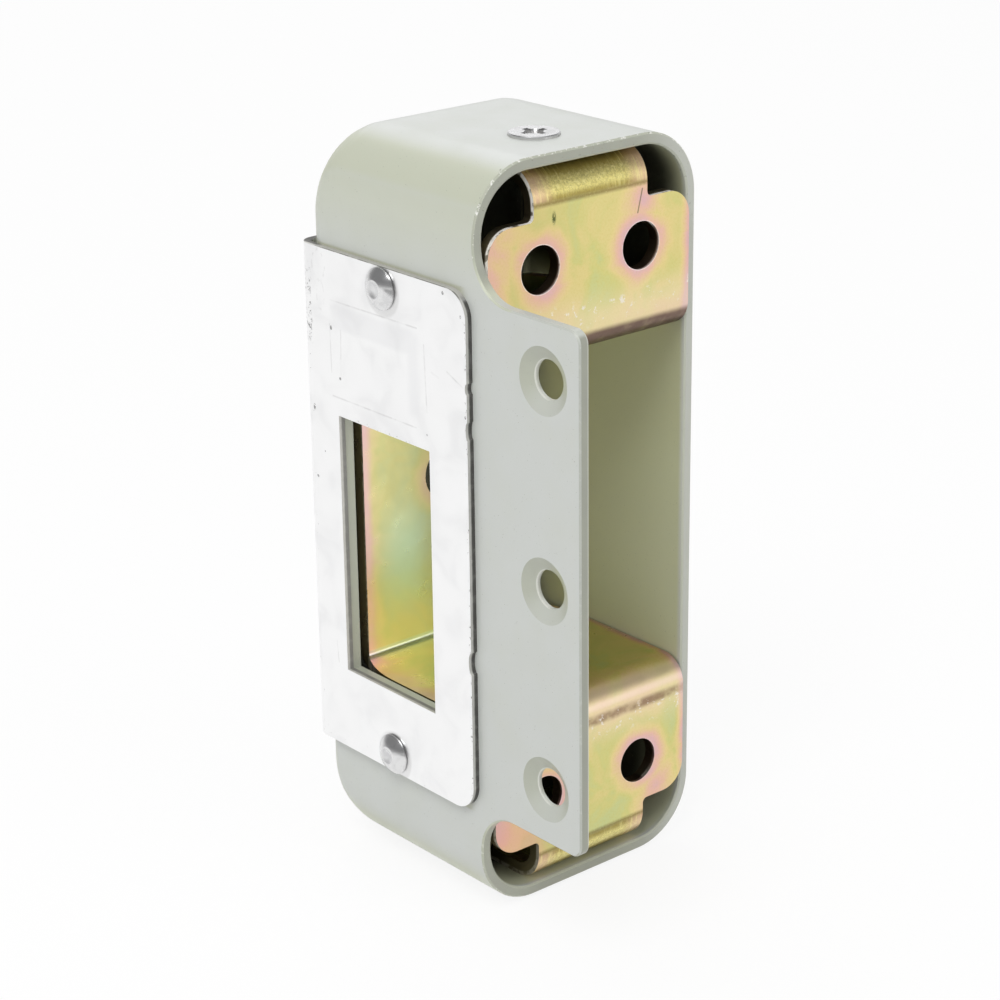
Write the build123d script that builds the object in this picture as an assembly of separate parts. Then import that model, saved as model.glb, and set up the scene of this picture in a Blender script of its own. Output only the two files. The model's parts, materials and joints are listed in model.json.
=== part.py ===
from build123d import *
from math import asin, pi, sin
import os

# Surface-mounted strike box. Lengths in millimetres.
# X runs across the box, from the bolt face at -X to the plain side wall at +X.
# Y runs from the door frame into the box; Z is up. The origin is the middle of
# the four lug screw holes, on the face of the lugs that lies against the frame.

# Case: one drawn sheet box, open towards the frame. Its closed end is rounded over
# by the side shoulder along both sides and by the end shoulder at top and bottom.
case_width = 41.5
case_height = 112.0
case_depth = 37.4
case_wall = 1.7
case_corner_radius = 10.0
case_side_shoulder = 3.4
case_end_shoulder = 7.0
case_edge_softening = 0.25

# Steps in which the shoulders come in, about eleven degrees of turn each
long_steps = 3
short_steps = 8
rim_set_back = 0.8

# Flange: the bolt face carried on past the rim, shorter than the case at both ends
flange_length = 21.4
flange_end_margin = 17.7
flange_root_radius = 7.0
flange_corner_radius = 2.0

# Countersunk screw holes in the flange
flange_screw_end_margin = 8.3
flange_screw_from_rim = 14.1
flange_screw_hole = 5.6
countersink_diameter = 9.6
countersink_depth = 1.15

# Latch opening, shared by the case and the plate
latch_width = 20.9
latch_height = 40.4
latch_from_rim = 19.3
latch_below_middle = 5.8
case_latch_margin = 0.4

# Bracket: one folded strip of plated sheet
bracket_sheet = 2.0
bracket_side_gap = 0.25
shelf_spacing = 52.6
lug_bend_radius = 4.0
neck_bend_radius = 5.0
web_bend_radius = 2.6
web_end_gap = 2.0
web_width = 32.5
web_corner_length = 9.0
web_hole = 9.0
ear_end_margin = 8.9
ear_radius = 4.0
neck_width = 21.1
neck_root_radius = 0.8
tab_length = 20.0

# Screw holes in the lugs
lug_screw_across = 18.8
lug_screw_end_margin = 15.75
lug_screw_hole = 7.0

# Strike plate: plated sheet on the bolt face, folded round the closed end
plate_sheet = 1.1
plate_end_margin = 16.95
plate_rim_gap = 0.45
plate_corner_radius = 4.0
plate_bend_radius = 1.5
plate_lip = 5.0

# Wear along the plate's near edge: height of the nick, its length and depth
plate_notches = [(25.5, 1.6, 0.35), (19.4, 2.6, 0.35), (-15.4, 3.4, 0.55)]

# Rivets that hold the plate
rivet_shank = 3.2
rivet_head = 6.2
rivet_head_height = 1.5
rivet_dimple = 2.4
rivet_dimple_depth = 0.25
rivet_tail = 5.0
rivet_tail_height = 0.9
rivet_from_rim = 18.9
rivet_from_plate_end = {"upper": 3.15, "lower": 2.95}

# Screws that hold the case on the bracket's tabs
screw_diameter = 4.0
screw_length = 8.0
screw_head = 7.4
screw_head_proud = 0.45
screw_head_softening = 0.12
screw_from_rim = 10.0
screw_off_middle = 1.0
recess_span = 4.2
recess_width = 0.95
recess_depth = 1.3
thread_clearance = 0.05
rivet_clearance = 0.05

# Planes and faces that several pieces share
rim_y = rim_set_back
end_y = rim_y + case_depth
end_inner_y = end_y - case_wall
face_x = -case_width / 2
inner_face_x = face_x + case_wall
ceiling_z = case_height / 2 - case_wall
web_front_y = end_inner_y - web_end_gap - bracket_sheet
flange_height = case_height - 2 * flange_end_margin
flange_screw_pitch = flange_height / 2 - flange_screw_end_margin
ears_height = case_height - 2 * ear_end_margin
lug_screw_pitch = case_height - 2 * lug_screw_end_margin
plate_height = case_height - 2 * plate_end_margin
shelf_z = shelf_spacing / 2
latch_y = rim_y + latch_from_rim
latch_z = -latch_below_middle
screw_x = -screw_off_middle
screw_y = rim_y + screw_from_rim
rivet_y = rim_y + rivet_from_rim
rivet_seats = {
    "upper": plate_height / 2 - rivet_from_plate_end["upper"],
    "lower": rivet_from_plate_end["lower"] - plate_height / 2,
}
wall_seats = {"top": 1, "bottom": -1}


def extrude_along_y(outline, y_from, y_to):
    # The outline is drawn in X and Z
    return extrude(Plane.XZ.offset(-y_from) * outline, amount=y_from - y_to)


def extrude_from_face(outline, x_from, x_to):
    # The outline is drawn in Y and Z
    return extrude(Plane.YZ.offset(x_from) * outline, amount=x_to - x_from)


def extrude_across(outline, width):
    # A YZ outline made equally thick on both sides of the middle
    return extrude(Plane.YZ * outline, amount=width / 2, both=True)


def turned(points_line):
    # A half section, drawn with its radius along X and its height along Z
    return revolve(make_face(Plane.XZ * points_line), axis=Axis.Z)


def wall_plane(side):
    # Middle of a screw seat on the top (side 1) or bottom (side -1) wall, facing out
    return Plane(origin=(screw_x, screw_y, side * case_height / 2), x_dir=(1, 0, 0), z_dir=(0, 0, side))


def rivet_plane(height):
    # Seat of a rivet's head on the plate, facing out
    return Plane(origin=(face_x - plate_sheet, rivet_y, height), x_dir=(0, 1, 0), z_dir=(-1, 0, 0))


def screw_profile(grown):
    # Half section of the wall screw, grown all round for the hole it passes through
    head = screw_head / 2 + grown
    shank = screw_diameter / 2 + grown
    return Polyline(
        (0, screw_head_proud), (head, screw_head_proud), (head, 0),
        (shank, shank - head), (shank, -screw_length - grown), (0, -screw_length - grown), close=True)


def wall_screw():
    screw = turned(screw_profile(0))
    screw = chamfer(screw.edges().group_by(Axis.Z)[-1], screw_head_softening)
    screw = chamfer(screw.edges().group_by(Axis.Z)[0], screw_diameter / 10)
    wing = Pos(0, 0, screw_head_proud - recess_depth / 2) * Box(recess_span, recess_width, recess_depth)
    point = Pos(0, 0, screw_head_proud - recess_depth) * Cone(
        0.1, recess_span / 3, recess_depth * 2, align=(Align.CENTER, Align.CENTER, Align.CENTER))
    return screw - wing - Rot(0, 0, 90) * wing - point


def wall_screw_hole():
    return turned(screw_profile(thread_clearance))


def axis_centred_arc(start, end):
    # Arc of a circle centred on the axis, between two points of a half section
    (start_radius, start_z), (end_radius, end_z) = start, end
    gap = start_radius ** 2 + start_z ** 2 - end_radius ** 2 - end_z ** 2
    centre_z = gap / (2 * (start_z - end_z))
    ball = (start_radius ** 2 + (start_z - centre_z) ** 2) ** 0.5
    middle = (start_radius + end_radius) / 2
    rise = (ball ** 2 - middle ** 2) ** 0.5
    middle_z = centre_z + rise if start_z > centre_z else centre_z - rise
    return ThreePointArc(start, (middle, middle_z), end)


def rivet():
    rim = rivet_head / 2
    shank = rivet_shank / 2
    tail = rivet_tail / 2
    inside = -plate_sheet - case_wall
    tail_end = inside - rivet_tail_height
    bowl_floor = rivet_head_height - rivet_dimple_depth
    brim = (rim, rivet_head_height / 5)
    bowl_edge = (rivet_dimple / 2, rivet_head_height)
    body = Polyline((0, bowl_floor), (0, tail_end), (tail, tail_end), (tail, inside), (shank, inside),
                    (shank, 0), (rim, 0), brim)
    dome = axis_centred_arc(brim, bowl_edge)
    dimple = Line(bowl_edge, (0, bowl_floor))
    return turned(Wire([*body.edges(), dome, dimple]))


def rivet_hole():
    depth = plate_sheet + case_wall
    return Pos(0, 0, -depth / 2) * Cylinder(rivet_shank / 2 + rivet_clearance, depth * 2)


def countersunk_hole():
    outer = countersink_diameter / 2
    inner = flange_screw_hole / 2
    return turned(Polyline((0, case_wall), (outer, case_wall), (outer, 0), (inner, -countersink_depth),
                           (inner, -case_wall * 2), (0, -case_wall * 2), close=True))


def latch_cutter(margin):
    span = case_wall + plate_sheet
    return Pos(face_x, latch_y, latch_z) * Box(4 * span, latch_width + 2 * margin, latch_height + 2 * margin)


def draw_in(depth_left, radius):
    # How far a rounded shoulder has come in at this distance from the closed end
    if depth_left >= radius:
        return 0
    return radius - (radius ** 2 - (radius - depth_left) ** 2) ** 0.5


def drawn_cup(width, height, corner, side_shoulder, end_shoulder, open_y, closed_y):
    # A straight tube of rounded outline, then lofts through outlines that come in
    # round both shoulders: first where only the longer one has begun, then both
    small, large = sorted((side_shoulder, end_shoulder))
    begun = asin(1 - small / large)
    long_part = [large * (1 - sin(begun * step / long_steps)) for step in range(long_steps + 1)]
    short_part = [small * (1 - sin(pi / 2 * step / short_steps)) for step in range(short_steps + 1)]
    cup = extrude_along_y(RectangleRounded(width, height, corner), open_y, closed_y - large)
    for part in (long_part, short_part):
        outlines = []
        for depth_left in part:
            across = width - 2 * draw_in(depth_left, side_shoulder)
            tall = height - 2 * draw_in(depth_left, end_shoulder)
            plane = Plane.XZ.offset(depth_left - closed_y)
            outlines.append(plane * RectangleRounded(across, tall, corner))
        cup += loft(outlines, ruled=True)
    return cup


def case_shell():
    outer = drawn_cup(case_width, case_height, case_corner_radius, case_side_shoulder, case_end_shoulder,
                      rim_y, end_y)
    inner = drawn_cup(case_width - 2 * case_wall, case_height - 2 * case_wall, case_corner_radius - case_wall,
                      case_side_shoulder - case_wall, case_end_shoulder - case_wall,
                      rim_y - case_wall, end_inner_y)
    return outer - inner


def flange_outline():
    # Drawn in Y and Z; it runs a wall's thickness into the case
    panel = Pos(rim_y - flange_length / 2, 0) * Rectangle(flange_length, flange_height)
    panel = fillet(panel.vertices().group_by(Axis.X)[0], flange_corner_radius)
    seam = Pos(rim_y, 0) * Rectangle(2 * case_wall, flange_height)
    root_height = flange_height + 2 * flange_root_radius
    root = Pos(rim_y + (case_wall - flange_root_radius) / 2, 0) * Rectangle(
        flange_root_radius + case_wall, root_height)
    rounds = [Pos(rim_y - flange_root_radius, side * root_height / 2) * Circle(flange_root_radius)
              for side in (1, -1)]
    return panel + seam + root - rounds


def case_body():
    shell = case_shell()
    flange = extrude_from_face(flange_outline(), face_x, inner_face_x)
    body = shell + flange
    cut_edges = body.edges().filter_by(lambda edge: edge.bounding_box().max.Y < rim_y + 0.01)
    body = chamfer(cut_edges, case_edge_softening)
    for step in (-1, 0, 1):
        seat = Plane(origin=(face_x, rim_y - flange_screw_from_rim, step * flange_screw_pitch),
                     x_dir=(0, 1, 0), z_dir=(-1, 0, 0))
        body -= seat * countersunk_hole()
    body -= latch_cutter(case_latch_margin)
    for side in wall_seats.values():
        body -= wall_plane(side) * wall_screw_hole()
    for height in rivet_seats.values():
        body -= rivet_plane(height) * rivet_hole()
    return body


def bracket_section():
    # Drawn in Y and Z: the face that looks to the frame, then the face behind it.
    # Each corner's outer radius is the sheet's thickness more than its inner one.
    sheet = bracket_sheet
    front = [(tab_length, ceiling_z), (0, ceiling_z), (0, shelf_z), (web_front_y, shelf_z)]
    back = [(tab_length, ceiling_z - sheet), (sheet, ceiling_z - sheet), (sheet, shelf_z + sheet),
            (web_front_y + sheet, shelf_z + sheet)]
    front_radii = [neck_bend_radius, lug_bend_radius, web_bend_radius - sheet]
    back_radii = [neck_bend_radius - sheet, lug_bend_radius - sheet, web_bend_radius]
    faces = []
    for points, radii in ((front, front_radii), (back, back_radii)):
        mirrored = [(y, -z) for y, z in reversed(points)]
        faces.append(FilletPolyline(*points, *mirrored, radius=radii + radii[::-1]))
    ends = [Line((tab_length, side * ceiling_z), (tab_length, side * (ceiling_z - sheet))) for side in (1, -1)]
    return make_face(Wire([*faces[0].edges(), *faces[1].edges(), *ends]))


def bracket_front_outline(width):
    # Drawn in X and Z: the two lugs with their ears, and the neck to each tab
    ears = Rectangle(width, ears_height)
    ears = fillet(ears.vertices(), ear_radius)
    outline = ears + Rectangle(neck_width, case_height)
    notches = outline.vertices().filter_by(
        lambda corner: abs(abs(corner.X) - neck_width / 2) < 0.01 and abs(abs(corner.Y) - ears_height / 2) < 0.01)
    return fillet(notches, neck_root_radius)


def bracket_plan_outline(width):
    # Drawn in X and Y: full width from the frame, rounded in to the web at the closed end
    step = (width - web_width) / 2
    start_y = web_front_y - web_corner_length
    bow = (web_corner_length ** 2 + step ** 2) / (2 * step)
    middle = web_corner_length * 0.5
    bow_in = bow - (bow ** 2 - middle ** 2) ** 0.5
    half = width / 2
    sides = []
    for side in (1, -1):
        sides.append(Line((side * half, -bracket_sheet), (side * half, start_y)))
        sides.append(ThreePointArc((side * half, start_y), (side * (half - bow_in), start_y + middle),
                                   (side * web_width / 2, web_front_y)))
        sides.append(Line((side * web_width / 2, web_front_y), (side * web_width / 2, end_inner_y)))
    sides.append(Line((half, -bracket_sheet), (-half, -bracket_sheet)))
    sides.append(Line((web_width / 2, end_inner_y), (-web_width / 2, end_inner_y)))
    return make_face(Wire(sides))


def bracket():
    width = case_width - 2 * case_wall - 2 * bracket_side_gap
    strip = extrude_across(bracket_section(), width)
    strip &= extrude_along_y(bracket_front_outline(width), -bracket_sheet, end_inner_y)
    strip &= extrude(bracket_plan_outline(width), amount=case_height / 2, both=True)
    for x in (-lug_screw_across / 2, lug_screw_across / 2):
        for z in (-lug_screw_pitch / 2, lug_screw_pitch / 2):
            strip -= Pos(x, 0, z) * Rot(90, 0, 0) * Cylinder(lug_screw_hole / 2, 4 * bracket_sheet)
    strip -= Pos(0, web_front_y, 0) * Rot(90, 0, 0) * Cylinder(web_hole / 2, 4 * bracket_sheet)
    for side in wall_seats.values():
        strip -= wall_plane(side) * wall_screw_hole()
    return strip


def strike_plate():
    # Drawn in X and Y: flat on the bolt face, then folded over the closed end
    near_y = rim_y + plate_rim_gap
    inner = FilletPolyline((face_x, near_y), (face_x, end_y), (face_x + plate_lip, end_y), radius=plate_bend_radius)
    outer = FilletPolyline((face_x - plate_sheet, near_y), (face_x - plate_sheet, end_y + plate_sheet),
                           (face_x + plate_lip, end_y + plate_sheet), radius=plate_bend_radius + plate_sheet)
    near_end = Line((face_x, near_y), (face_x - plate_sheet, near_y))
    lip_end = Line((face_x + plate_lip, end_y), (face_x + plate_lip, end_y + plate_sheet))
    section = make_face(Wire([*inner.edges(), *outer.edges(), near_end, lip_end]))
    plate = extrude(section, amount=plate_height / 2, both=True)
    near_corners = plate.edges().filter_by(Axis.X).group_by(Axis.Y)[0]
    plate = fillet(near_corners, plate_corner_radius)
    plate -= latch_cutter(0)
    for height in rivet_seats.values():
        plate -= rivet_plane(height) * rivet_hole()
    for height, length, depth in plate_notches:
        notch = Pos(face_x - plate_sheet / 2, near_y, height) * Rot(0, 90, 0)
        plate -= notch * extrude(Ellipse(length / 2, depth), amount=2 * plate_sheet, both=True)
    return plate


def build_nodes():
    nodes = {"case": case_body(), "bracket": bracket(), "strike_plate": strike_plate()}
    for name, height in rivet_seats.items():
        nodes[name + "_rivet"] = rivet_plane(height) * rivet()
    for name, side in wall_seats.items():
        nodes[name + "_screw"] = wall_plane(side) * wall_screw()
    return nodes


os.makedirs("parts", exist_ok=True)
for name, piece in build_nodes().items():
    piece.label = name
    export_step(piece, "parts/" + name + ".step")
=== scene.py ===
import json
from math import cos, pi, radians, sin, sqrt

import bmesh
import bpy
from mathutils import Matrix, Vector


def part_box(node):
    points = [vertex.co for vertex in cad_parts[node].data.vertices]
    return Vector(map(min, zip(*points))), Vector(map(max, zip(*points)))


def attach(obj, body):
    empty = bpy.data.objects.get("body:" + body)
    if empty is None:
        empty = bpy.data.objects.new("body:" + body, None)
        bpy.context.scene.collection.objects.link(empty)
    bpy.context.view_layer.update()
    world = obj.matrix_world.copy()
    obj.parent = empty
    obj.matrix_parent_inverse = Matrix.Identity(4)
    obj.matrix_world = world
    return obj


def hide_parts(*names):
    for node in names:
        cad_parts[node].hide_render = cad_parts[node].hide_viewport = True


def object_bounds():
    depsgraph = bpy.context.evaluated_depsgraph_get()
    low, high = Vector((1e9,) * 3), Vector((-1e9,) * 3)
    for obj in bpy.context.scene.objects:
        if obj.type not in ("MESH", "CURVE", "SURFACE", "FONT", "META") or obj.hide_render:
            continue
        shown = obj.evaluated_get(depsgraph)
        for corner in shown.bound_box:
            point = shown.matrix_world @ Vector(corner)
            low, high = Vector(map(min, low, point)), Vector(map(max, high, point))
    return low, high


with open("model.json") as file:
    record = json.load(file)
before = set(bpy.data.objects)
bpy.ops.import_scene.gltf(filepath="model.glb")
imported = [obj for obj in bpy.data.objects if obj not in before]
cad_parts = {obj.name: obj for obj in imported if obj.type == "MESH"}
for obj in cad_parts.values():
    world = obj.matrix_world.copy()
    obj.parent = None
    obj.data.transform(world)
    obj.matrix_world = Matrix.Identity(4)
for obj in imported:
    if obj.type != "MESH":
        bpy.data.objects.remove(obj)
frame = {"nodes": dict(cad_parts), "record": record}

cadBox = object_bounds()
nodes = frame["nodes"]
mounts = {mount["name"]: mount for mount in frame["record"]["mounts"]}
rivets = ("upper_rivet", "lower_rivet")
wallScrews = ("top_screw", "bottom_screw")


def boxOf(node):
    # A piece's lowest and highest corners, in millimetres
    low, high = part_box(node)
    return low * 1000, high * 1000


def middleOf(node):
    low, high = boxOf(node)
    return (low + high) / 2


def ink(red, green, blue):
    # A colour as read off a screen, 0 to 255, turned to the linear values that shaders take
    shares = [channel / 255 for channel in (red, green, blue)]
    return tuple(c / 12.92 if c < 0.04045 else ((c + 0.055) / 1.055) ** 2.4 for c in shares)


# One finish being drawn: its node tree, with short ways to add what finishes need.
# Lengths are millimetres in the object's own space.
class Finish:
    def __init__(self, name):
        self.material = bpy.data.materials.new(name)
        self.material.use_nodes = True
        self.tree = self.material.node_tree
        self.shader = self.tree.nodes["Principled BSDF"]
        place = self.add("ShaderNodeTexCoord").outputs["Object"]
        self.place = self.vector("MULTIPLY", place, (1000, 1000, 1000))
        split = self.add("ShaderNodeSeparateXYZ", Vector=self.place)
        self.x, self.y, self.z = split.outputs
        self.absX, self.absZ = self.size(self.x), self.size(self.z)
        normal = self.add("ShaderNodeNewGeometry").outputs["Normal"]
        split = self.add("ShaderNodeSeparateXYZ", Vector=normal)
        self.nx, self.ny, self.nz = split.outputs

    def add(self, kind, **inputs):
        node = self.tree.nodes.new(kind)
        for key, value in inputs.items():
            self.put(node.inputs[key], value)
        return node

    def put(self, socket, value):
        if isinstance(value, bpy.types.NodeSocket):
            self.tree.links.new(value, socket)
        elif hasattr(socket.default_value, "__len__") and len(value) < len(socket.default_value):
            socket.default_value = (*value, 1)
        else:
            socket.default_value = value

    def math(self, work, first, second=None, clamp=False):
        node = self.tree.nodes.new("ShaderNodeMath")
        node.operation, node.use_clamp = work, clamp
        self.put(node.inputs[0], first)
        if second is not None:
            self.put(node.inputs[1], second)
        return node.outputs[0]

    def size(self, value):
        return self.math("ABSOLUTE", value)

    def plus(self, *values):
        result = values[0]
        for value in values[1:]:
            result = self.math("ADD", result, value)
        return result

    def minus(self, first, second):
        return self.math("SUBTRACT", first, second)

    def vector(self, work, first, second=None):
        node = self.tree.nodes.new("ShaderNodeVectorMath")
        node.operation = work
        self.put(node.inputs[0], first)
        if second is not None:
            self.put(node.inputs[1], second)
        return node.outputs["Value" if work in ("LENGTH", "DISTANCE", "DOT_PRODUCT") else "Vector"]

    def all(self, *masks):
        # Where every mask holds; a plain number makes the rest fainter or stronger
        result = masks[0]
        for mask in masks[1:]:
            result = self.math("MULTIPLY", result, mask)
        return result

    def either(self, *masks):
        # Where any mask holds
        result = masks[0]
        for mask in masks[1:]:
            result = self.math("MAXIMUM", result, mask)
        return result

    def rise(self, value, start, end, low=0.0, high=1.0):
        # Goes smoothly from low to high while the value goes from start to end
        node = self.tree.nodes.new("ShaderNodeMapRange")
        node.interpolation_type = "SMOOTHSTEP"
        for socket, given in zip(node.inputs, (value, start, end, low, high)):
            self.put(socket, given)
        return node.outputs[0]

    def span(self, value, start, end, soft):
        # One between start and end, with soft ends
        begins = self.rise(value, start - soft, start + soft)
        return self.all(begins, self.rise(value, end + soft, end - soft))

    def length(self, x, y, z):
        return self.vector("LENGTH", self.add("ShaderNodeCombineXYZ", X=x, Y=y, Z=z).outputs[0])

    def cloud(self, size, detail=2.0, rough=0.5, stretch=(1, 1, 1), shift=0.0, warp=0.0):
        # Noise whose blobs are about this many millimetres wide, 0 to 1
        scale = [s / size for s in stretch]
        where = self.vector("MULTIPLY", self.vector("ADD", self.place, (shift, shift, shift)), scale)
        noise = self.add("ShaderNodeTexNoise", Vector=where, Scale=1.0, Detail=detail, Roughness=rough,
                         Distortion=warp)
        return noise.outputs[0]

    def specks(self, size, least, soft=0.02, **more):
        # The few tops of a cloud
        return self.rise(self.cloud(size, **more), least, least + soft)

    def crumbs(self, size, least, soft=0.02, shift=0.0):
        # Ragged specks, as chips, pits and scuffs are
        return self.specks(size, least, soft, detail=4.0, rough=0.7, shift=shift)

    def blend(self, share, first, second):
        node = self.tree.nodes.new("ShaderNodeMix")
        node.data_type = "RGBA"
        self.put(node.inputs[0], share)
        self.put(node.inputs[6], first)
        self.put(node.inputs[7], second)
        return node.outputs[2]

    def ramp(self, share, stops):
        node = self.tree.nodes.new("ShaderNodeValToRGB")
        self.put(node.inputs[0], share)
        points = node.color_ramp.elements
        while len(points) < len(stops):
            points.new(0.5)
        for point, (at, colour) in zip(points, stops):
            point.position, point.color = at, (*colour, 1)
        return node.outputs[0]

    def stroke(self, start, end, width, axes="yz"):
        # A thin straight mark between two places of a flat face
        across = {"yz": (1, 2), "xz": (0, 2)}[axes]
        keep = [1.0 if axis in across else 0.0 for axis in range(3)]
        begin, finish = Vector((0, 0, 0)), Vector((0, 0, 0))
        for axis, low, high in zip(across, start, end):
            begin[axis], finish[axis] = low, high
        run = finish - begin
        fromStart = self.vector("SUBTRACT", self.vector("MULTIPLY", self.place, keep), begin)
        reached = self.vector("DOT_PRODUCT", fromStart, run)
        scaled = self.tree.nodes.new("ShaderNodeVectorMath")
        scaled.operation = "SCALE"
        scaled.inputs[0].default_value = run
        self.put(scaled.inputs["Scale"], self.math("MULTIPLY", reached, 1 / run.length_squared, clamp=True))
        away = self.vector("DISTANCE", fromStart, scaled.outputs[0])
        return self.rise(away, width, width * 0.35)

    def spot(self, middle, halfSize, axes="yz"):
        # A round or oval place on a flat face: 0 in its middle, 1 on its outline
        across = {"yz": (1, 2), "xz": (0, 2)}[axes]
        scale, centre = [0.0] * 3, [0.0] * 3
        for axis, at, half in zip(across, middle, halfSize):
            centre[axis], scale[axis] = at, 1 / half
        fromMiddle = self.vector("SUBTRACT", self.place, centre)
        return self.vector("LENGTH", self.vector("MULTIPLY", fromMiddle, scale))

    def finish(self, colour, roughness, metallic, bump, depth):
        # The bump's depth is given in millimetres and set in metres
        relief = self.add("ShaderNodeBump", Strength=1.0, Distance=depth / 1000, Height=bump)
        self.put(self.shader.inputs["Base Color"], colour)
        self.put(self.shader.inputs["Roughness"], roughness)
        self.put(self.shader.inputs["Metallic"], metallic)
        self.put(self.shader.inputs["Normal"], relief.outputs[0])
        return self.material


# The view: a long lens from the left, above and in front
cameraSetup = {
    "place": (-0.240275, -0.264428, 0.1396),
    "aim": (-0.017137, 0.000069, 0.00864),
    "roll": -0.763,   # degrees, the camera leans a little
    "lens": 95.8155,
    "sensor": 36.0,
}


def aimed(place, aim):
    # Where a camera or lamp stands, turned to look at its aim
    place, aim = Vector(place), Vector(aim)
    return Matrix.Translation(place) @ (aim - place).to_track_quat("-Z", "Y").to_matrix().to_4x4()


def makeCamera(s=cameraSetup):
    data = bpy.data.cameras.new("camera")
    data.lens, data.sensor_width = s["lens"], s["sensor"]
    data.clip_start, data.clip_end = 0.01, 20
    camera = bpy.data.objects.new("camera", data)
    bpy.context.scene.collection.objects.link(camera)
    camera.matrix_world = aimed(s["place"], s["aim"]) @ Matrix.Rotation(radians(s["roll"]), 4, "Z")
    bpy.context.scene.camera = camera


# Lamps: place, size in metres, power in watts; all look at the middle of the case
lampAim = (0, 0.02, 0)
lampSetup = {
    "keyLamp": {"place": (-0.55, -0.25, 0.85), "size": 0.55, "power": 4.4},
    "backLamp": {"place": (0.45, 0.75, 0.62), "size": 0.7, "power": 1.3},
    "frontLamp": {"place": (0.35, -0.95, 0.3), "size": 0.7, "power": 2.2},
}


def makeLamps(lamps=lampSetup):
    for name, s in lamps.items():
        data = bpy.data.lights.new(name, "AREA")
        data.shape, data.size = "DISK", s["size"]
        data.energy = s["power"]
        lamp = bpy.data.objects.new(name, data)
        lamp.matrix_world = aimed(s["place"], lampAim)
        bpy.context.scene.collection.objects.link(lamp)


# The studio round the object: white where it is seen directly. Shiny metal sees a darker
# room with a white backdrop behind the object, as a real studio gives it.
# An edge is how nearly a ray points that way where the light starts and where it is full.
studio = {
    "light": 0.62,
    "roomInMetal": 0.34,
    "horizonInMetal": 0.8,
    "horizonEdge": (0.30, -0.02),
    "backdropInMetal": 0.85,
    "backdropWay": (0.62, 0.74, 0.28),
    "backdropEdge": (0.55, 0.85),
    "ceilingInMetal": 0.75,
    "ceilingEdge": (0.72, 0.92),
}


def makeWorld(s=studio):
    world = bpy.data.worlds.new("studio")
    world.use_nodes = True
    tree = world.node_tree
    sky = tree.nodes["Background"]
    sky.inputs["Color"].default_value = (1, 1, 1, 1)
    new, join = tree.nodes.new, tree.links.new
    path = new("ShaderNodeLightPath")
    way = new("ShaderNodeTexCoord").outputs["Generated"]
    up = (0, 0, 1)

    def toward(direction, edge, amount):
        dot = new("ShaderNodeVectorMath")
        dot.operation = "DOT_PRODUCT"
        join(way, dot.inputs[0])
        dot.inputs[1].default_value = Vector(direction).normalized()
        rise = new("ShaderNodeMapRange")
        rise.interpolation_type = "SMOOTHSTEP"
        join(dot.outputs["Value"], rise.inputs[0])
        for socket, value in zip(rise.inputs[1:5], (*edge, 0, amount)):
            socket.default_value = value
        return rise.outputs[0]

    def larger(first, second):
        node = new("ShaderNodeMath")
        node.operation = "MAXIMUM"
        for socket, value in zip(node.inputs, (first, second)):
            if isinstance(value, (int, float)):
                socket.default_value = value
            else:
                join(value, socket)
        return node.outputs[0]

    backdrop = toward(s["backdropWay"], s["backdropEdge"], s["backdropInMetal"])
    ceiling = toward(up, s["ceilingEdge"], s["ceilingInMetal"])
    horizon = toward(up, s["horizonEdge"], s["horizonInMetal"])
    room = larger(larger(backdrop, ceiling), larger(horizon, s["roomInMetal"]))
    inMetal = new("ShaderNodeMix")
    inMetal.inputs[2].default_value = s["light"]
    join(path.outputs["Is Glossy Ray"], inMetal.inputs[0])
    join(room, inMetal.inputs[3])
    seen = new("ShaderNodeMix")
    seen.inputs[3].default_value = 1.0
    join(path.outputs["Is Camera Ray"], seen.inputs[0])
    join(inMetal.outputs[0], seen.inputs[2])
    join(seen.outputs[0], sky.inputs["Strength"])
    bpy.context.scene.world = world


# The dark front is where the camera stands, as metal sees it, in millimetres
floorSetup = {
    "size": 6.0,
    "white": 0.94,
    "shadowShare": 0.13,
    "darkFrontInMetal": 0.25,
    "darkFrontAcross": (20, -60),
    "darkFrontAlong": (-60, -140),
}


def makeFloor(s=floorSetup):
    half, z = s["size"] / 2, cadBox[0].z
    corners = [(-half, -half, z), (half, -half, z), (half, half, z), (-half, half, z)]
    mesh = bpy.data.meshes.new("floor")
    mesh.from_pydata(corners, [], [(0, 1, 2, 3)])
    floor = bpy.data.objects.new("floor", mesh)
    bpy.context.scene.collection.objects.link(floor)
    f = Finish("pale_floor")
    f.tree.nodes.remove(f.shader)
    path = f.add("ShaderNodeLightPath")
    matt = f.add("ShaderNodeBsdfDiffuse", Color=(s["white"],) * 3)
    # White as seen and in reflections, but for the dark front
    front = f.all(f.rise(f.x, *s["darkFrontAcross"]), f.rise(f.y, *s["darkFrontAlong"]))
    level = f.minus(1.0, f.all(front, path.outputs["Is Glossy Ray"], 1 - s["darkFrontInMetal"]))
    glow = f.add("ShaderNodeEmission", Strength=level)
    seen = f.either(path.outputs["Is Camera Ray"], path.outputs["Is Glossy Ray"])
    mix = f.add("ShaderNodeMixShader")
    f.put(mix.inputs[0], f.all(seen, 1 - s["shadowShare"]))
    f.put(mix.inputs[1], matt.outputs[0])
    f.put(mix.inputs[2], glow.outputs[0])
    f.put(f.tree.nodes["Material Output"].inputs["Surface"], mix.outputs[0])
    mesh.materials.append(f.material)


def dress(node, material):
    mesh = nodes[node].data
    mesh.materials.clear()
    mesh.materials.append(material)


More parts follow.
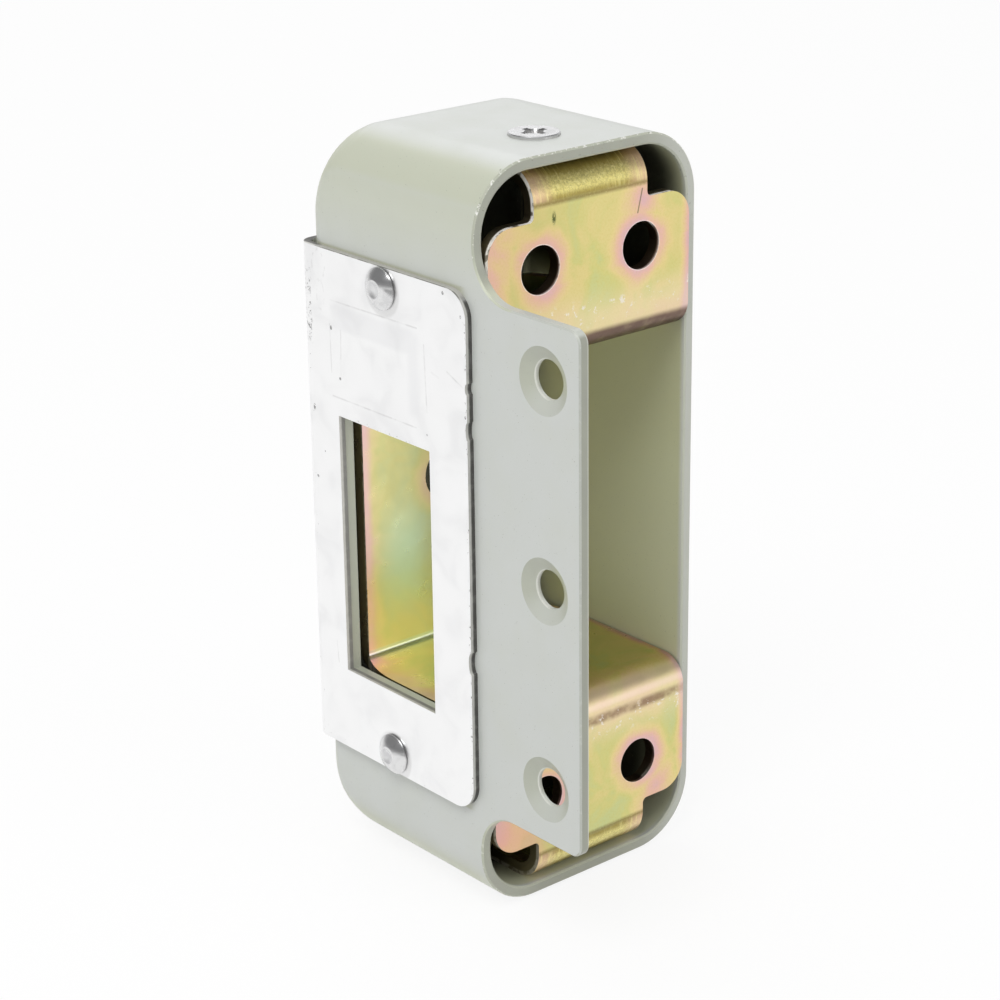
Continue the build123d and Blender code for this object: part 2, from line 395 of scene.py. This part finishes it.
# Semi-gloss paint on the case: pale with a painted sheen on the flat outer faces, more olive as painted shade
# where it turns, darker inside with painted shade, chipped along the rim
casePaint = {
    "flat": ink(200, 203, 199),
    "round": ink(192, 196, 170),
    "rim": ink(155, 157, 145),
    "rimRight": ink(178, 180, 172),
    "flangeEnd": ink(147, 149, 138),
    "beside": ink(178, 180, 156),
    "sunk": ink(176, 179, 166),
    "inside": ink(187, 189, 157),
    "lowInside": ink(196, 198, 170),
    "deepInside": ink(70, 70, 58),
    "chip": ink(226, 226, 220),
    "chipDark": ink(96, 98, 84),
    # How much of its colour a place takes
    "shares": {"turning": 0.68, "shoulder": 0.5, "beside": 0.8, "farCorner": 0.6, "mottle": 0.10,
               "holeEdge": 0.7},
    # How full of chips the rim is: low down, and anywhere
    "chipsLow": 0.5,
    "chipsLeast": 0.12,
    "roughness": 0.36,
    "bumpDepth": 0.004,
}


def paintCase(s=casePaint):
    f = Finish("case_paint")
    share = s["shares"]
    # Distances from the bolt face, the flange's end and the strike plate's ends
    boltFace, flangeTip = boxOf("case")[0].xy
    fromFace, fromTip = f.minus(f.x, boltFace), f.minus(f.y, flangeTip)
    fromPlate = f.minus(f.absZ, boxOf("strike_plate")[1].z)
    mottle = f.cloud(7.0, detail=3.0)

    # Which way each face looks: out of the case, into it, or towards the door frame
    endWall = f.all(f.nz, f.math("SIGN", f.z), f.rise(f.absZ, 44, 47))
    outward = f.plus(f.all(f.nx, f.math("SIGN", f.x)), endWall)
    frontFacing = f.rise(f.ny, -0.5, -0.9)
    backWall = f.all(frontFacing, f.rise(f.y, 33, 35))
    inward = f.either(f.rise(outward, -0.35, -0.75), backWall)
    inside = f.all(inward, f.rise(f.y, 1.2, 2.0))
    flatness = f.either(f.size(f.nx), f.size(f.ny), f.size(f.nz))

    # The countersinks are sunk, and the other turned places and the upper shoulder take the olive colour as
    # painted shade
    sunk = f.all(f.rise(f.y, -6, -8), f.rise(flatness, 0.97, 0.9), f.rise(fromTip, 0.3, 0.6))
    turning = f.all(f.rise(flatness, 0.999, 0.84), f.rise(sunk, 0, 1, 1, 0), f.rise(fromTip, 0.3, 1.0))
    shoulder = f.all(f.rise(f.z, 36, 49, 0, share["shoulder"]), f.rise(f.nx, -0.7, -0.95))
    colour = f.blend(f.either(f.all(turning, share["turning"]), shoulder), s["flat"], s["round"])
    # Painted shadow of the strike plate's ends on the paint, with a yellow tint
    beside = f.all(f.rise(fromPlate, 0.6, 0.15), f.rise(fromFace, 0.45, 0.05), f.rise(f.y, 2, 4))
    colour = f.blend(f.all(beside, share["beside"]), colour, s["beside"])
    # Painted shade in the countersinks, lighter where they face up
    colour = f.blend(f.all(sunk, f.rise(f.nz, 0.1, 0.6, 1.0, 0.35)), colour, s["sunk"])
    # The cut walls of the latch opening take the same painted shade
    through = f.all(f.rise(f.size(f.nx), 0.5, 0.3), f.rise(f.absZ, 30, 28), f.rise(f.y, 7, 9))
    colour = f.blend(f.all(through, f.rise(fromFace, 1.85, 1.65)), colour, s["sunk"])

    # The rim's front faces are painted in shade, lighter towards the right
    rim = f.all(frontFacing, f.rise(f.y, 6, 4), f.rise(f.y, -15, -10))
    colour = f.blend(rim, colour, f.blend(f.rise(f.x, 8, 19), s["rim"], s["rimRight"]))
    # The flange's end is painted in shade, but for a painted highlight along its far corner
    farCorner = f.all(f.rise(fromFace, 1.25, 1.45), share["farCorner"])
    endFace = f.all(frontFacing, f.rise(fromTip, 0.8, 0.3))
    colour = f.blend(endFace, colour, f.blend(farCorner, s["flangeEnd"], s["chip"]))
    # Inside, the case is painted in olive shade, lighter low down
    colour = f.blend(inside, colour, f.blend(f.rise(f.z, 15, -20), s["inside"], s["lowInside"]))
    # Behind the lugs and the web the case is dark with painted shade, and low down the shade starts further
    # in
    depth = f.plus(f.y, f.rise(f.z, -20, 20, -4.5, 0.5))
    behindLugs = f.all(f.rise(f.absZ, 27, 34), f.rise(depth, 1, 7))
    colour = f.blend(f.all(inside, f.either(behindLugs, backWall)), colour, s["deepInside"])
    colour = f.blend(f.rise(mottle, 0.35, 0.75, 0, share["mottle"]), colour, s["round"])
    # Dust specks in the paint, a little darker
    colour = f.blend(f.specks(0.22, 0.74, 0.06, detail=1.0), colour, s["rim"])

    # Each screw hole's edge has a painted highlight on the side towards the case
    edgeScrews = mounts["edge_screws"]
    pitch = mounts["edge_screws_middle_and_upper"]["dims"]["spacing_y_mm"]
    holeRadius = edgeScrews["dims"]["hole_r_mm"]
    fromAxisY = f.minus(f.y, edgeScrews["pos_m"][1] * 1000)
    fromAxisZ = f.math("MINIMUM", f.absZ, f.size(f.minus(f.absZ, pitch)))
    toAxis = f.length(0.0, fromAxisY, fromAxisZ)
    ring = f.span(toAxis, holeRadius - 0.02, holeRadius + 0.14, 0.07)
    holeEdge = f.all(ring, f.rise(fromAxisY, -0.5, 1.0), f.rise(fromFace, 1.55, 1.15))
    colour = f.blend(f.all(holeEdge, share["holeEdge"]), colour, s["chip"])

    # Chips sit on the narrow turned edge of the rim and of the flange, most of them high up
    rimEdge, flangeEdge = f.span(f.y, 0.75, 1.15, 0.12), f.span(fromTip, -0.1, 0.4, 0.1)
    edge = f.all(f.either(rimEdge, flangeEdge), f.rise(flatness, 0.97, 0.85), f.rise(outward, 0.1, 0.3))
    worn = f.either(f.rise(f.z, 30, 46), f.all(f.rise(f.z, -40, -48), s["chipsLow"]), s["chipsLeast"])
    chips = f.all(edge, worn, f.crumbs(0.8, 0.56, 0.03))
    colour = f.blend(chips, colour, s["chip"])
    darkChips = f.all(f.span(f.y, 0.75, 1.6, 0.2), f.rise(f.z, 38, 48), f.crumbs(0.55, 0.66, shift=40.0))
    colour = f.blend(darkChips, colour, s["chipDark"])

    peel = f.cloud(0.9, detail=2.0)
    fine = f.cloud(0.16, detail=1.0)
    bump = f.minus(f.plus(peel, f.all(fine, 0.25)), f.all(chips, 3.0))
    rough = f.rise(mottle, 0.3, 0.7, s["roughness"] - 0.04, s["roughness"] + 0.05)
    dress("case", f.finish(colour, rough, 0.0, bump, s["bumpDepth"]))


# Yellow zinc on the bracket: the film's colour goes from pink at edges and holes through
# gold and green-yellow to pale blue-green in the middle of the flats
zincFilm = {
    "stops": [(0.0, ink(225, 183, 186)), (0.12, ink(233, 190, 172)), (0.26, ink(232, 202, 158)),
              (0.42, ink(230, 211, 148)), (0.60, ink(213, 208, 136)), (0.80, ink(200, 208, 150)),
              (1.0, ink(192, 212, 184))],
    "bright": ink(255, 251, 244),
    "cutEdge": ink(148, 136, 112),
    "webMiddle": ink(216, 242, 206),
    "webLight": ink(255, 250, 190),
    "webPink": ink(250, 208, 206),
    "pinkLine": ink(248, 220, 218),
    "lowEdge": ink(240, 226, 200),
    "leftShade": ink(186, 146, 112),
    "salmon": ink(234, 176, 158),
    "holeWall": ink(104, 90, 66),
    "blueLine": ink(214, 240, 232),
    "bendDark": ink(126, 106, 62),
    "bendGold": ink(206, 190, 98),
    "bendLight": ink(244, 234, 160),
    "bendPink": ink(233, 190, 172),
    "bendLow": ink(134, 104, 82),
    "underBrown": ink(120, 98, 86),
    "stain": ink(88, 96, 58),
    "scuff": ink(244, 238, 228),
    # How much of its colour a place takes
    "shares": {"grain": 0.22, "web": 0.30, "palePatch": 0.8, "blueLine": 0.4, "straightEdge": 0.35,
               "leftSide": 0.2, "lowCorner": 0.5, "bend": 0.9, "paleLine": 0.35, "brownLine": 0.8,
               "holeWall": 0.85, "holeRim": 0.55, "scuffs": 0.8, "scratch": 0.7},
    "roughness": 0.30,
    "bumpDepth": 0.004,
    # Places that the frame doesn't name, in millimetres
    "sheet": 2.0,
    "webHalfWidth": 16.25,
    "webHole": 4.5,
    "neckBend": 5.0,
    "neckBendFrom": 49.3,
    "palePatch": {"middle": (-8.8, -11.5), "halfSize": (7.5, 12)},
    # The right ears, where they leave the necks
    "earRoots": [(10.8, 47.2), (13.5, -46.6)],
    "stainSpot": {"middle": (-6.9, 47.1), "halfSize": (0.5, 1.2)},
    "scratch": {"start": (9.6, 48.4), "end": (8.75, 45.1), "width": 0.17},
}


def plateBracket(s=zincFilm):
    f = Finish("yellow_zinc_plating")
    share = s["shares"]
    high = boxOf("bracket")[1]
    webFront = high.y - s["sheet"]
    fromWeb = f.minus(f.y, webFront)
    web, lug, onBend = f.rise(f.y, 27, 31), f.rise(f.y, 3, 1), f.rise(f.y, 6, 3)
    patch = f.cloud(2.6, detail=3.0, shift=17.0)
    fine = f.cloud(0.35, detail=3.0, rough=0.65)

    # Film thickness: how far each place is from a side, a hole or the right ears' roots
    halfWidth = f.rise(f.y, 23.5, webFront, high.x, s["webHalfWidth"])
    toSide = f.minus(halfWidth, f.absX)
    # The left side is pink for a way in, the right side hardly
    sideReach = f.all(toSide, f.either(f.rise(f.x, -4, 4, 0.85, 3.0), f.rise(web, 0, 1, 0, 1.5)))
    frameScrews = mounts["frame_screws"]["dims"]
    fromHoleX = f.minus(f.absX, frameScrews["spacing_x_mm"] / 2)
    fromHoleZ = f.minus(f.absZ, frameScrews["spacing_y_mm"] / 2)
    toHole = f.minus(f.length(fromHoleX, 0.0, fromHoleZ), frameScrews["hole_r_mm"])
    toHole = f.plus(toHole, f.rise(f.y, 3, 8, 0, 50))
    toWebHole = f.plus(f.minus(f.length(f.x, 0.0, f.z), s["webHole"]), f.rise(web, 0, 1, 50, 0))
    nearest = f.math("MINIMUM", sideReach, f.all(f.math("MINIMUM", toHole, toWebHole), 1.75))
    upperRoot, lowerRoot = (f.spot(root, (1, 1), "xz") for root in s["earRoots"])
    nearest = f.math("MINIMUM", nearest, f.all(f.math("MINIMUM", upperRoot, lowerRoot), 0.9))
    reach = f.plus(nearest, f.all(f.minus(patch, 0.5), 2.2))
    # Close to an edge the film is thin, and it grows over five millimetres
    film = f.rise(reach, -0.5, 6.0, 0.0, 0.52)
    film = f.plus(film, f.rise(f.cloud(9.0, detail=3.0, rough=0.55, warp=0.6), 0.36, 0.70, -0.05, 0.24))
    film = f.plus(film, f.all(web, f.rise(f.absX, 13, 6), 0.16))
    film = f.minus(film, f.all(f.rise(f.absZ, 36, 30), f.rise(f.y, 6, 2), 0.20))
    colour = f.ramp(film, s["stops"])
    grain = f.all(f.rise(fine, 0.42, 0.7), f.rise(f.y, 3, 12, share["grain"], 0.0))
    colour = f.blend(grain, colour, s["bendGold"])

    # The web is lighter, with one paler and bluer part, a pink left side and a blue painted highlight on its
    # bends
    colour = f.blend(f.rise(f.y, 6, 27, 0.0, share["web"]), colour, s["webLight"])
    palePatch = f.all(web, f.rise(f.spot(**s["palePatch"], axes="xz"), 1.0, 0.1))
    colour = f.blend(f.all(palePatch, share["palePatch"]), colour, s["webMiddle"])
    side = f.all(web, f.rise(f.x, -14.4, -16.0), f.rise(patch, 0.25, 0.6, 0.35, 0.85))
    colour = f.blend(side, colour, s["webPink"])
    blueLine = f.all(f.rise(fromWeb, -1.0, -0.7), f.rise(f.absZ, 25.2, 25.5))
    colour = f.blend(f.all(blueLine, share["blueLine"]), colour, s["blueLine"])

    # The lugs are paler towards their straight edges, browner on the left with painted shade and pink in one
    # corner
    straightEdge = f.rise(f.absZ, 37, 31, 0, share["straightEdge"])
    leftSide = f.rise(f.x, 2, -14, 0, share["leftSide"])
    lowCorner = f.all(f.rise(f.x, -8, -12), f.rise(f.z, -40, -44), share["lowCorner"])
    colour = f.blend(f.all(lug, straightEdge), colour, s["lowEdge"])
    colour = f.blend(f.all(lug, leftSide), colour, s["leftShade"])
    colour = f.blend(f.all(lug, lowCorner), colour, s["salmon"])

    # The neck's bend is a deeper gold with drawn lines; a painted highlight runs across its middle with
    # painted shade towards its top, and it starts in a dark line of painted reflection
    bend = f.all(f.rise(f.absZ, 49.2, 49.8), f.rise(f.y, 9, 6))
    drawn = f.cloud(0.55, detail=4.0, rough=0.7, stretch=(1.0, 0.06, 0.06))
    mottled = f.cloud(0.28, detail=4.0, rough=0.7, shift=8.0)
    gold = f.blend(f.span(f.absZ, 50.3, 52.4, 0.5), s["bendDark"], s["bendLight"])
    gold = f.blend(0.45, gold, s["bendGold"])
    gold = f.blend(f.rise(mottled, 0.42, 0.62, 0, 0.4), gold, s["bendDark"])
    # Bright flecks across the middle are painted highlights
    bits = f.all(f.crumbs(0.45, 0.5, 0.12, shift=70.0), f.span(f.absZ, 50.6, 52.6, 0.6))
    gold = f.blend(f.all(bits, 0.75), gold, s["bendLight"])
    gold = f.blend(f.rise(f.absZ, 52.6, 54.0, 0, 0.6), gold, s["bendDark"])
    gold = f.blend(f.all(f.rise(f.absX, 6.0, 10), 0.6), gold, s["bendPink"])
    lines = f.all(f.rise(drawn, 0.50, 0.66), f.rise(f.absX, 2, 9, 0.15, 0.7))
    gold = f.blend(lines, gold, s["bendLight"])
    colour = f.blend(f.all(bend, share["bend"]), colour, gold)
    darkLine = f.all(f.span(f.absZ, 49.0, 49.6, 0.35), f.rise(f.y, 2, 1), f.rise(fine, 0.25, 0.5, 0.35, 0.75))
    colour = f.blend(darkLine, colour, s["bendDark"])

    # The upper lug's bend under its lower edge is brownish with painted shade
    under = f.all(f.rise(f.z, 30.0, 28.9), f.rise(f.z, 20, 24), onBend, f.rise(patch, 0.3, 0.6, 0.85, 1.0))
    colour = f.blend(under, colour, s["underBrown"])
    # The lower lug's bend has a pale line of painted highlight and then a brown one of painted dark
    # reflection
    paleLine = f.all(f.span(f.z, -29.4, -28.5, 0.35), onBend)
    brownLine = f.all(f.span(f.z, -31.6, -30.2, 0.5), onBend, f.rise(patch, 0.3, 0.6, 0.35, 1.0))
    colour = f.blend(f.all(paleLine, share["paleLine"]), colour, s["pinkLine"])
    colour = f.blend(f.all(brownLine, share["brownLine"]), colour, s["bendLow"])

    # Sheared edges show the bare zinc, and the walls of the holes are dark with painted shade
    sideCut = f.all(f.rise(f.size(f.nx), 0.3, 0.8), f.rise(toHole, 0.1, 0.3))
    earCut = f.all(f.rise(f.size(f.nz), 0.4, 0.8), f.rise(f.absX, 10.4, 10.8), f.rise(f.absZ, 38, 40))
    cut = f.either(sideCut, earCut)
    holeWall = f.all(f.rise(toHole, 0.1, 0.03), f.rise(f.y, 0.3, 0.6))
    colour = f.blend(f.all(holeWall, share["holeWall"]), colour, s["holeWall"])
    colour = f.blend(cut, colour, s["cutEdge"])
    # A thin painted highlight runs along their front corner, and round the holes. The neck's
    # outer face turns round a line that lies one bend radius behind its front.
    behindTurn = f.math("MAXIMUM", f.minus(s["neckBend"], f.y), 0.0)
    aboveTurn = f.math("MAXIMUM", f.minus(f.absZ, s["neckBendFrom"]), 0.0)
    toFront = f.minus(s["neckBend"], f.length(0.0, behindTurn, aboveTurn))
    front = f.either(f.rise(toFront, 0.75, 0.5), f.all(web, f.rise(fromWeb, 0.4, 0.2)))
    holeRim = f.all(f.rise(toHole, 0.16, 0.05), f.rise(f.y, 0.3, 0.2))
    broken = f.rise(f.cloud(1.1, detail=4.0, shift=3.0), 0.36, 0.5, 0.25, 1.0)
    glint = f.either(f.all(cut, front, broken), f.all(holeRim, broken, share["holeRim"]))
    glint = f.all(glint, f.rise(f.z, 20, 26, 0.4, 1))
    colour = f.blend(glint, colour, s["bright"])

    # Scuffs along the lower edge of the upper lug and the upper edge of the lower one
    scuffBand = f.all(f.span(f.absZ, 30.5, 34.0, 0.8), lug)
    scuffs = f.all(scuffBand, f.specks(1.3, 0.585, detail=5.0, rough=0.7))
    scuffs = f.either(scuffs, f.all(lug, f.specks(0.55, 0.735, detail=5.0, rough=0.7, shift=90.0)))
    colour = f.blend(f.all(scuffs, share["scuffs"]), colour, s["scuff"])
    stain = f.rise(f.spot(**s["stainSpot"], axes="xz"), 1.0, 0.3)
    stain = f.all(stain, f.rise(f.cloud(0.25, detail=2.0, shift=6.0), 0.36, 0.5), lug)
    scratch = f.all(f.stroke(**s["scratch"], axes="xz"), lug, share["scratch"])
    colour = f.blend(f.either(stain, scratch), colour, s["stain"])

    # The grain and the fine relief fade out behind the lugs
    relief = f.all(fine, f.rise(f.y, 3, 12, 0.4, 0.0))
    bump = f.plus(relief, f.all(bend, drawn, 2.0), f.all(f.cloud(3.0), 2.0))
    rough = f.rise(patch, 0.3, 0.7, s["roughness"] - 0.03, s["roughness"] + 0.06)
    rough = f.plus(rough, f.all(scuffs, 0.2), f.all(fine, f.rise(f.y, 3, 12, 0.14, 0)))
    metal = f.minus(1.0, f.all(glint, 0.8))
    dress("bracket", f.finish(colour, rough, metal, bump, s["bumpDepth"]))


# The strike plate: bright zinc sheet, sheared edges left dark, marks of long use
brightSheet = {
    "sheet": ink(250, 250, 250),
    "dull": ink(238, 238, 239),
    "sheared": ink(84, 83, 80),
    "shearedOuter": ink(204, 203, 199),
    "shearedTop": ink(204, 203, 198),
    "pit": ink(74, 72, 70),
    "pitShare": 0.7,
    "mark": ink(196, 195, 194),
    "markShare": 0.36,
    "roughness": 0.34,
    "bumpDepth": 0.01,
    # Thin marks on the face: from and to, as distance from the frame and height, and width
    "strokes": [((31.7, 31.7), (11.9, 31.9), 0.16), ((31.8, 17.2), (12.5, 17.2), 0.16),
                ((32.0, 28.0), (31.9, 20.7), 0.14), ((29.4, 27.7), (29.7, 20.4), 0.14),
                ((10.4, 29.8), (10.0, 20.1), 0.20), ((5.4, 27.1), (2.0, 25.6), 0.16),
                ((33.0, -22.0), (32.7, -25.5), 0.12), ((8.7, 26.2), (7.3, 25.8), 0.24)],
    # Small dark flecks: distance from the frame, height, half sizes
    "flecks": [(17.9, 38.6, 0.28, 0.28), (31.7, 27.5, 0.3, 0.45), (28.4, 39.4, 0.3, 0.3),
               (6.0, 38.2, 0.3, 0.35), (10.1, 16.7, 0.16, 0.2), (2.3, 35.6, 0.2, 0.3),
               (1.6, 21.4, 0.2, 0.3), (36.2, 3.6, 0.3, 0.3), (36.4, 14.4, 0.3, 0.6),
               (19.6, -40.6, 0.28, 0.6), (34.2, 8.0, 0.14, 0.2), (29.9, 20.2, 0.3, 0.3)],
    # Faint rings left by drops
    "rings": [(34.3, 36.4, 1.7, 2.6), (34.0, 31.9, 1.0, 2.4)],
    "rivetShade": {"shift": (-0.25, -0.3), "radius": 4.1, "share": 0.35},
}


def plateStrike(s=brightSheet):
    f = Finish("bright_zinc_plating")
    fromBack = f.minus(boxOf("case")[0].x, f.x)   # the sheet's back lies on the case's bolt face
    outer = f.rise(f.nx, -0.5, -0.8)
    smear = f.cloud(6.0, detail=3.0, warp=0.8)
    grain = f.cloud(1.6, detail=3.0)
    colour = f.blend(f.rise(smear, 0.45, 0.75, 0, 0.35), s["sheet"], s["dull"])
    # The pressed-in rectangle above the opening catches less light along its top and near side
    topSide = f.all(f.span(f.z, 27.6, 31.2, 0.5), f.span(f.y, 12.5, 31.5, 0.8))
    nearSide = f.all(f.span(f.y, 11.8, 14.0, 0.8), f.span(f.z, 18.5, 31.0, 1.0))
    colour = f.blend(f.all(f.either(topSide, nearSide), outer, 0.5), colour, s["dull"])

    marks = f.either(*(f.stroke(start, end, width) for start, end, width in s["strokes"]))
    for y, z, wide, high in s["rings"]:
        ring = f.span(f.spot((y, z), (wide, high)), 0.80, 0.95, 0.08)
        marks = f.either(marks, f.all(ring, f.specks(0.8, 0.48, 0.1), 0.8))
    broken = f.rise(f.cloud(2.2, detail=4.0), 0.38, 0.6, 0.25, 1.0)
    marks = f.all(marks, broken, outer)
    colour = f.blend(f.all(marks, s["markShare"]), colour, s["mark"])

    flecks = f.either(*(f.rise(f.spot((y, z), (wide, high)), 1.0, 0.5)
                        for y, z, wide, high in s["flecks"]))
    flecks = f.all(flecks, f.rise(f.cloud(0.3, detail=3.0), 0.36, 0.46))
    # Pits gather near the fold and at the lower end
    nearFold = f.all(f.span(f.y, 36.3, 38.2, 0.5), f.span(f.z, 25, 35, 2.0), f.crumbs(0.6, 0.565))
    alongFold = f.all(f.span(f.y, 36.6, 38.8, 0.4), f.crumbs(0.5, 0.68, shift=31.0))
    lowEnd = f.all(f.rise(f.z, -34, -38.5), f.crumbs(0.45, 0.68, shift=12.0), 0.6)
    # Burrs along the near edge and over the opening
    overOpening = f.all(f.span(f.z, 14.3, 14.8, 0.12), f.span(f.y, 10, 30, 0.5))
    burrs = f.all(f.either(overOpening, f.rise(f.y, 1.9, 1.4)), f.crumbs(0.5, 0.61, 0.03, shift=55.0))
    pits = f.either(flecks, nearFold, alongFold, burrs, lowEnd)
    colour = f.blend(f.all(pits, s["pitShare"]), colour, s["pit"])
    # Soft painted shade on the sheet next to each rivet
    soft = s["rivetShade"]
    for rivet in rivets:
        place = middleOf(rivet).yz + Vector(soft["shift"])
        near = f.rise(f.spot(place, (soft["radius"],) * 2), 1.0, 0.86, 0, soft["share"])
        colour = f.blend(f.all(near, outer), colour, s["mark"])

    # Sheared edges all round and in the opening, darker towards the sheet's back with painted shade where it
    # meets the case
    acrossY = f.all(f.rise(f.size(f.ny), 0.5, 0.8), f.rise(f.y, 35.5, 35.0))
    sheared = f.either(f.rise(f.size(f.nz), 0.5, 0.8), acrossY)
    ragged = f.rise(grain, 0.3, 0.7, -0.12, 0.12)
    depth = f.math("ADD", f.rise(fromBack, 0.8, 0.5), ragged, clamp=True)
    opening = f.all(f.rise(f.absZ, 30, 28), f.rise(f.y, 5, 8))
    shade = f.blend(f.all(depth, f.rise(opening, 0, 1, 1.0, 0.7)), s["shearedOuter"], s["sheared"])
    # Top edges face up and are painted lighter
    top = f.all(f.rise(f.nz, 0.6, 0.9), f.rise(f.z, 30, 32), f.rise(f.y, 36, 34))
    shade = f.blend(f.all(top, 0.85), shade, s["shearedTop"])
    # The front corner of the top edge was cut rough and is dark
    corner = f.all(f.rise(fromBack, 0.75, 0.95), f.rise(grain, 0.36, 0.5, 0.35, 0.85), top)
    shade = f.blend(corner, shade, s["sheared"])
    colour = f.blend(sheared, colour, shade)

    bump = f.plus(f.all(f.cloud(9.0, detail=2.0, shift=5.0), 3.0), f.all(f.cloud(0.3, detail=2.0), 0.3))
    bump = f.minus(bump, f.all(f.either(pits, marks), 1.5))
    rough = f.rise(smear, 0.3, 0.7, s["roughness"] - 0.04, s["roughness"] + 0.08)
    rough = f.plus(rough, f.all(sheared, 0.2))
    metal = f.minus(1.0, f.all(sheared, 0.75))
    dress("strike_plate", f.finish(colour, rough, metal, bump, s["bumpDepth"]))


# Bright nickel on the rivets; their dimples are duller, and their domes carry a painted dark reflection on
# the upper side.
# Lengths that the frame's boxes don't give, in millimetres
rivetNickel = {
    "colour": ink(226, 226, 226),
    "dull": ink(206, 206, 207),
    "shade": ink(138, 138, 140),
    "roughness": 0.19,
    "metallic": 0.9,
    "bumpDepth": 0.006,
    "shank": 3.2,
    "tail": 5.0,
    "tailSoftening": 0.1,
    "inside": 2.8,
    "dimple": 2.4,
    "dimpleDepth": 0.22,
    "roll": 0.10,
    "rollWidth": 0.35,
    "brim": 0.06,         # how far in the head's foot is softened, as a share of its radius
    "brimLift": 0.6,      # how far up it is softened, as a share of the way in
    "brimHeight": 0.22,   # where the dome starts, as a share of the head's height
    "sides": 96,
    "domeSteps": 26,
    "dimpleSteps": 8,
    "sharp": 40,          # degrees, edges sharper than this stay crisp
}


def rivetProfile(rim, top, deep, s=rivetNickel):
    # Half the outline, as radius and height over the sheet, from the tail to the dimple's bottom
    shank, tail, soft, inside = s["shank"] / 2, s["tail"] / 2, s["tailSoftening"], s["inside"]
    dimple, brim, brimTop = s["dimple"] / 2, rim * s["brim"], top * s["brimHeight"]
    profile = [(0, -deep), (tail - soft, -deep), (tail, -deep + soft), (tail, -inside), (shank, -inside),
               (shank, 0), (rim - brim, 0), (rim, brim * s["brimLift"])]
    # The dome is part of a ball that goes through the brim and the dimple's edge
    centre = (rim ** 2 + brimTop ** 2 - dimple ** 2 - top ** 2) / (2 * (brimTop - top))
    ball = sqrt(rim ** 2 + (brimTop - centre) ** 2)
    for step in range(s["domeSteps"] + 1):
        radius = rim + (dimple - rim) * step / s["domeSteps"]
        # and rolls over into the dimple
        rolled = s["roll"] * max(0, 1 - (radius - dimple) / s["rollWidth"]) ** 2
        profile.append((radius, centre + sqrt(ball ** 2 - radius ** 2) - rolled))
    edge = profile[-1][1]
    for step in range(1, s["dimpleSteps"] + 1):
        share = step / s["dimpleSteps"]
        profile.append((dimple * (1 - share), edge - s["dimpleDepth"] * sin(share * pi / 2)))
    return profile


def turnRivet(name, s=rivetNickel):
    # A domed rivet with a dimple, turned about its own axis, in place of the plain solid
    low, high = boxOf(name)
    seat = boxOf("strike_plate")[0].x
    y, z = middleOf(name).yz
    sides = s["sides"]
    shape = bmesh.new()
    rings = []
    for radius, height in rivetProfile((high.y - low.y) / 2, seat - low.x, high.x - seat):
        x = (seat - height) / 1000
        if radius == 0:
            rings.append([shape.verts.new((x, y / 1000, z / 1000))] * sides)
            continue
        turns = [2 * pi * side / sides for side in range(sides)]
        rings.append([shape.verts.new((x, (y + radius * cos(turn)) / 1000, (z + radius * sin(turn)) / 1000))
                      for turn in turns])
    for first, second in zip(rings, rings[1:]):
        for side in range(sides):
            corners = [first[side], first[side - 1], second[side - 1], second[side]]
            unique = [c for at, c in enumerate(corners) if c not in corners[:at]]
            shape.faces.new(unique).smooth = True
    bmesh.ops.recalc_face_normals(shape, faces=shape.faces)
    for line in shape.edges:
        line.smooth = len(line.link_faces) == 2 and line.calc_face_angle(0) < radians(s["sharp"])
    mesh = bpy.data.meshes.new(name + "_turned")
    shape.to_mesh(mesh)
    shape.free()
    rivet = bpy.data.objects.new(name + "_turned", mesh)
    bpy.context.scene.collection.objects.link(rivet)
    mesh.materials.append(polishRivet(name, y, z))
    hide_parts(name)
    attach(rivet, "root")


def polishRivet(name, y, z, s=rivetNickel):
    f = Finish(name + "_nickel")
    dimple = s["dimple"] / 2
    bowl = f.rise(f.spot((y, z), (dimple, dimple)), 1.15, 0.9)
    smear = f.cloud(1.2, detail=3.0)
    colour = f.blend(f.rise(smear, 0.45, 0.7, 0, 0.5), s["colour"], s["dull"])
    colour = f.blend(f.all(bowl, f.rise(smear, 0.35, 0.65, 0.1, 0.8)), colour, s["dull"])
    # The dome's upper side is darker, a painted dark reflection
    upper = f.all(f.rise(f.nz, 0.10, 0.38), f.rise(f.ny, 0.42, 0.0), f.rise(f.nz, 0.95, 0.75))
    colour = f.blend(f.all(upper, 0.6), colour, s["shade"])
    rough = f.rise(smear, 0.3, 0.7, s["roughness"] - 0.03, s["roughness"] + 0.06)
    rough = f.plus(rough, f.all(bowl, 0.12))
    bump = f.plus(f.cloud(0.6, detail=2.0), f.all(f.cloud(0.12), 0.1))
    return f.finish(colour, rough, s["metallic"], bump, s["bumpDepth"])


# Bright nickel on the wall screws, dull in the cross recess
screwNickel = {
    "colour": ink(204, 204, 205),
    "dull": ink(190, 190, 192),
    "recess": ink(196, 195, 194),
    "roughness": (0.16, 0.3),
    "bumpDepth": 0.003,
}


def polishScrew(name, s=screwNickel):
    f = Finish(name + "_nickel")
    headTop = cadBox[1].z * 1000
    smear = f.cloud(1.6, detail=3.0)
    recess = f.rise(f.absZ, headTop - 0.1, headTop - 0.45)
    colour = f.blend(f.rise(smear, 0.45, 0.7, 0, 0.5), s["colour"], s["dull"])
    colour = f.blend(recess, colour, s["recess"])
    metal = f.minus(1.0, f.all(recess, 0.8))
    bump = f.cloud(0.3, detail=2.0)
    dress(name, f.finish(colour, f.rise(smear, 0.3, 0.7, *s["roughness"]), metal, bump, s["bumpDepth"]))


makeCamera()
makeLamps()
makeWorld()
makeFloor()
print("studio, lamps and camera set")
paintCase()
print("case painted")
plateBracket()
plateStrike()
print("bracket and strike plate plated")
for rivet in rivets:
    turnRivet(rivet)
for screw in wallScrews:
    polishScrew(screw)
print("rivets and screws polished")

bpy.context.scene.view_settings.view_transform = "Standard"
